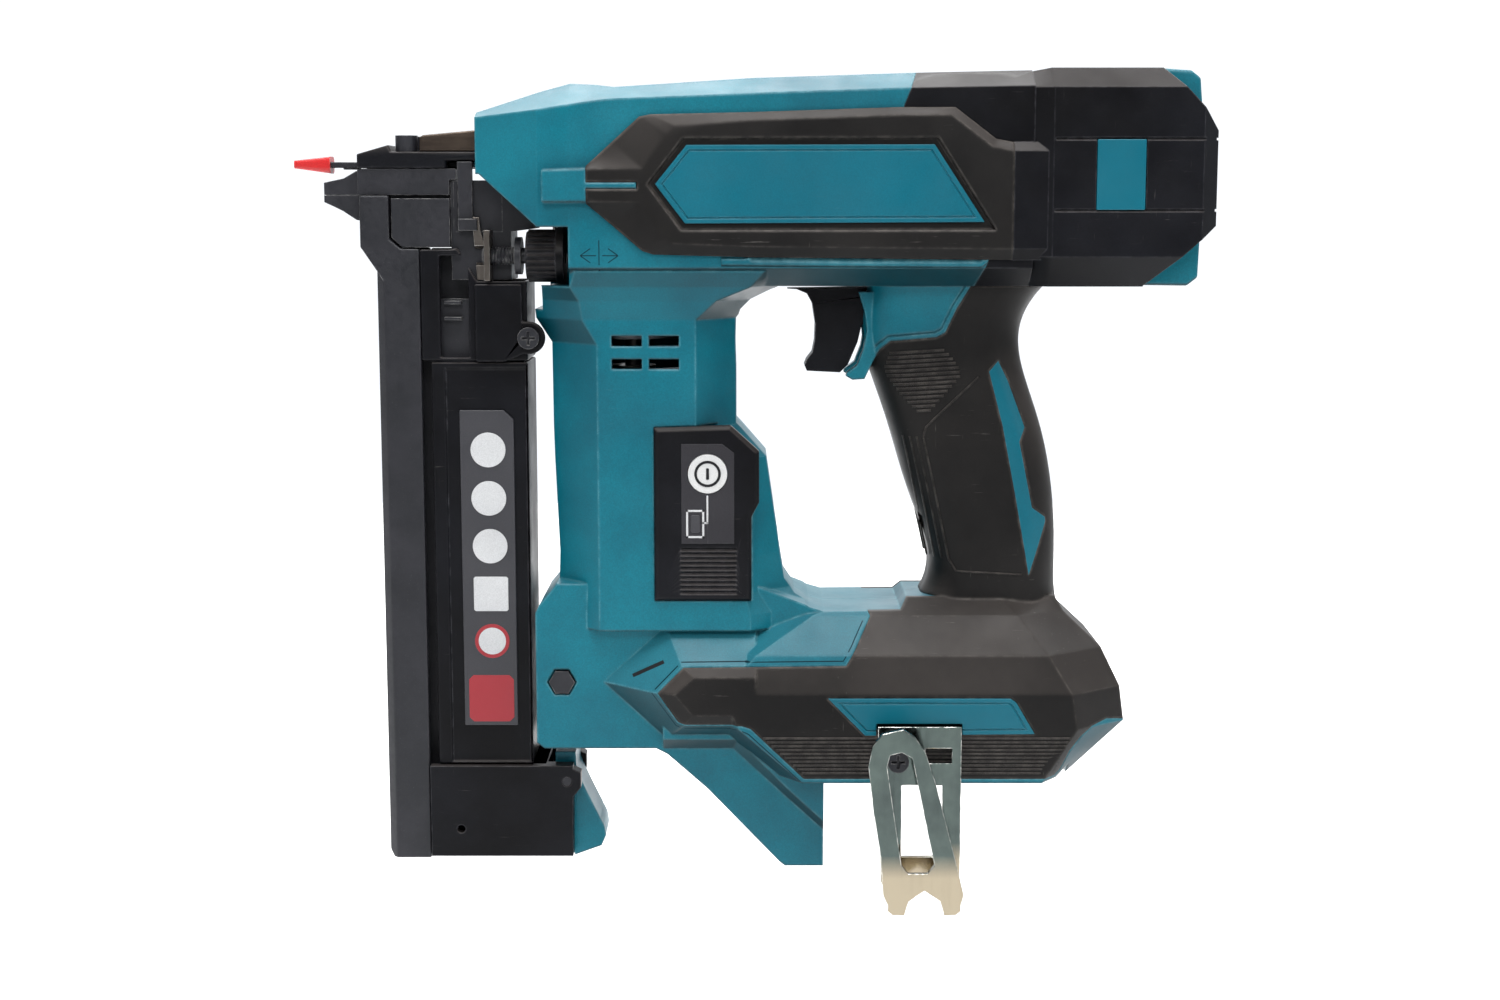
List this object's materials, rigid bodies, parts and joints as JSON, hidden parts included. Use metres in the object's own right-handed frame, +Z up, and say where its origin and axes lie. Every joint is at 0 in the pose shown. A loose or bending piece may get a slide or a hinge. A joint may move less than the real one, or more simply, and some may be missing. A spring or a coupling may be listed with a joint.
{
  "type": "cordless brad nailer",
  "caption": "Cordless narrow-crown brad nailer with loop handle, upright staple magazine, depth knob, belt hook and battery foot, with its drive train inside.",
  "frame": {"origin": "centre of the muzzle face, on the drive axis", "axes": "+X back along the drive axis from the muzzle, +Z up, Y across the tool with the belt hook at -Y"},
  "size_m": [0.3195, 0.0957, 0.2888],
  "materials": {
    "teal_plastic": "fine-textured moulded plastic",
    "teal_trim": "satin moulded plastic",
    "rubber": "matt overmoulded rubber",
    "bumper_rubber": "plain rubber",
    "black_plastic": "fine-textured glass-filled plastic",
    "pale_plastic": "smooth",
    "red_plastic": "soft plastic",
    "black_metal": "black coated steel and magnesium",
    "bronze_metal": "dark bronze coated steel",
    "tool_steel": "ground steel",
    "die_cast": "die-cast",
    "aluminium": "machined",
    "copper": "copper winding and contacts",
    "board_green": "potted circuit board",
    "bright_nickel": "bright nickel-plated sheet"
  },
  "bodies": {
    "root": {"housing_left": "teal_plastic", "housing_right": "teal_plastic", "body_panel_left": "rubber", "body_panel_right": "rubber", "name_plates": "teal_trim", "grip_left": "rubber", "grip_right": "rubber", "grip_stripes": "teal_trim", "foot_inlays": "teal_trim", "head_cover": "black_plastic", "head_inserts": "teal_trim", "corner_bumpers": "teal_plastic", "air_chamber": "aluminium", "cylinder": "aluminium", "front_bumper": "bumper_rubber", "gear_case": "die_cast", "ring_gear": "tool_steel", "stator": "copper", "motor_bearings": "tool_steel", "nose_base": "black_metal", "nose_plate": "black_metal", "nose_cover": "black_plastic", "nose_bolts": "black_metal", "top_shield": "bronze_metal", "magazine_rail": "black_metal", "magazine_upper": "black_plastic", "side_plate": "black_plastic", "trigger_pin": "tool_steel", "switch_unit": "black_plastic", "control_panel": "black_plastic", "terminal_block": "black_plastic", "terminal_blades": "copper", "controller_board": "board_green", "belt_hook": "bright_nickel", "cross_screws": "black_metal", "housing_screws": "tool_steel", "magazine_bolt": "black_metal"},
    "contact": {"contact_arm": "black_metal", "contact_cap": "red_plastic", "depth_plate": "tool_steel"},
    "depth_screw": {"depth_screw": "black_metal"},
    "depth_knob": {"depth_knob": "black_plastic"},
    "magazine_slider": {"magazine_cover": "black_plastic", "magazine_end_cap": "black_plastic", "latch_pin": "black_metal", "follower_spring": "tool_steel"},
    "latch": {"latch_lever": "teal_plastic"},
    "follower": {"staple_follower": "black_metal"},
    "trigger": {"trigger": "black_plastic"},
    "power_button": {"power_button": "pale_plastic"},
    "driver": {"driver_blade": "tool_steel", "piston": "aluminium", "piston_seals": "bumper_rubber"},
    "lifter": {"lifter_wheel": "tool_steel"},
    "carrier": {"planet_carrier": "tool_steel"},
    "planet_1": {"planet_gear_1": "tool_steel"},
    "planet_2": {"planet_gear_2": "tool_steel"},
    "planet_3": {"planet_gear_3": "tool_steel"},
    "rotor": {"rotor": "tool_steel", "cooling_fan": "black_plastic"}
  },
  "joints": [
    {"name": "contact_slide", "type": "slide", "parent": "root", "child": "contact", "axis": [1, 0, 0], "range_m": [0, 0.0075], "stiffness_N_per_m": 300, "springref_m": -0.006},
    {"name": "depth_knob_spin", "type": "hinge", "parent": "root", "child": "depth_knob", "pos_m": [0.078, -0.014, -0.0213], "axis": [1, 0, 0], "range_deg": [0, 540]},
    {"name": "depth_screw_slide", "type": "slide", "parent": "root", "child": "depth_screw", "axis": [1, 0, 0], "range_m": [0, 0.00155]},
    {"name": "magazine_slide", "type": "slide", "parent": "root", "child": "magazine_slider", "axis": [0, 0, -1], "range_m": [0, 0.12]},
    {"name": "latch_hinge", "type": "hinge", "parent": "magazine_slider", "child": "latch", "pos_m": [0.0838, 0, -0.2098], "axis": [0, -1, 0], "range_deg": [0, 20], "stiffness_Nm_per_rad": 0.3, "springref_deg": -8.59},
    {"name": "follower_slide", "type": "slide", "parent": "magazine_slider", "child": "follower", "axis": [0, 0, -1], "range_m": [0, 0.11], "stiffness_N_per_m": 20, "springref_m": -0.2, "deforming": ["follower_spring"]},
    {"name": "trigger_pull", "type": "hinge", "parent": "root", "child": "trigger", "pos_m": [0.192, 0, -0.036], "axis": [0, -1, 0], "range_deg": [0, 8], "stiffness_Nm_per_rad": 0.6, "springref_deg": -8.59},
    {"name": "power_button_press", "type": "slide", "parent": "root", "child": "power_button", "axis": [0, 1, 0], "range_m": [0, 0.0008], "stiffness_N_per_m": 500, "springref_m": -0.001},
    {"name": "rotor_spin", "type": "hinge", "parent": "root", "child": "rotor", "pos_m": [0.108, 0, -0.09], "axis": [0, 0, -1], "range_deg": [0, 1734.7]},
    {"name": "carrier_spin", "type": "hinge", "parent": "root", "child": "carrier", "pos_m": [0.108, 0, -0.03], "axis": [0, 0, -1], "range_deg": [0, 386.7]},
    {"name": "planet_1_spin", "type": "hinge", "parent": "carrier", "child": "planet_1", "pos_m": [0.12015, 0, -0.04], "axis": [0, 0, -1], "range_deg": [-1081, 0]},
    {"name": "planet_2_spin", "type": "hinge", "parent": "carrier", "child": "planet_2", "pos_m": [0.10193, 0.01052, -0.04], "axis": [0, 0, -1], "range_deg": [-1081, 0]},
    {"name": "planet_3_spin", "type": "hinge", "parent": "carrier", "child": "planet_3", "pos_m": [0.10193, -0.01052, -0.04], "axis": [0, 0, -1], "range_deg": [-1081, 0]},
    {"name": "lifter_spin", "type": "hinge", "parent": "root", "child": "lifter", "pos_m": [0.092, 0.0168, -0.006], "axis": [0, 0, 1], "range_deg": [0, 301]},
    {"name": "driver_slide", "type": "slide", "parent": "root", "child": "driver", "axis": [1, 0, 0], "range_m": [0, 0.0645]}
  ],
  "couplings": [
    {"joint": "depth_screw_slide", "follows": "depth_knob_spin", "m_per_rad": 0.00015915},
    {"joint": "carrier_spin", "follows": "rotor_spin", "ratio": 0.22222},
    {"joint": "planet_1_spin", "follows": "rotor_spin", "ratio": -0.62222},
    {"joint": "planet_2_spin", "follows": "rotor_spin", "ratio": -0.62222},
    {"joint": "planet_3_spin", "follows": "rotor_spin", "ratio": -0.62222},
    {"joint": "lifter_spin", "follows": "rotor_spin", "ratio": 0.17284},
    {"joint": "driver_slide", "follows": "rotor_spin", "m_per_rad": 0.0021086}
  ]
}
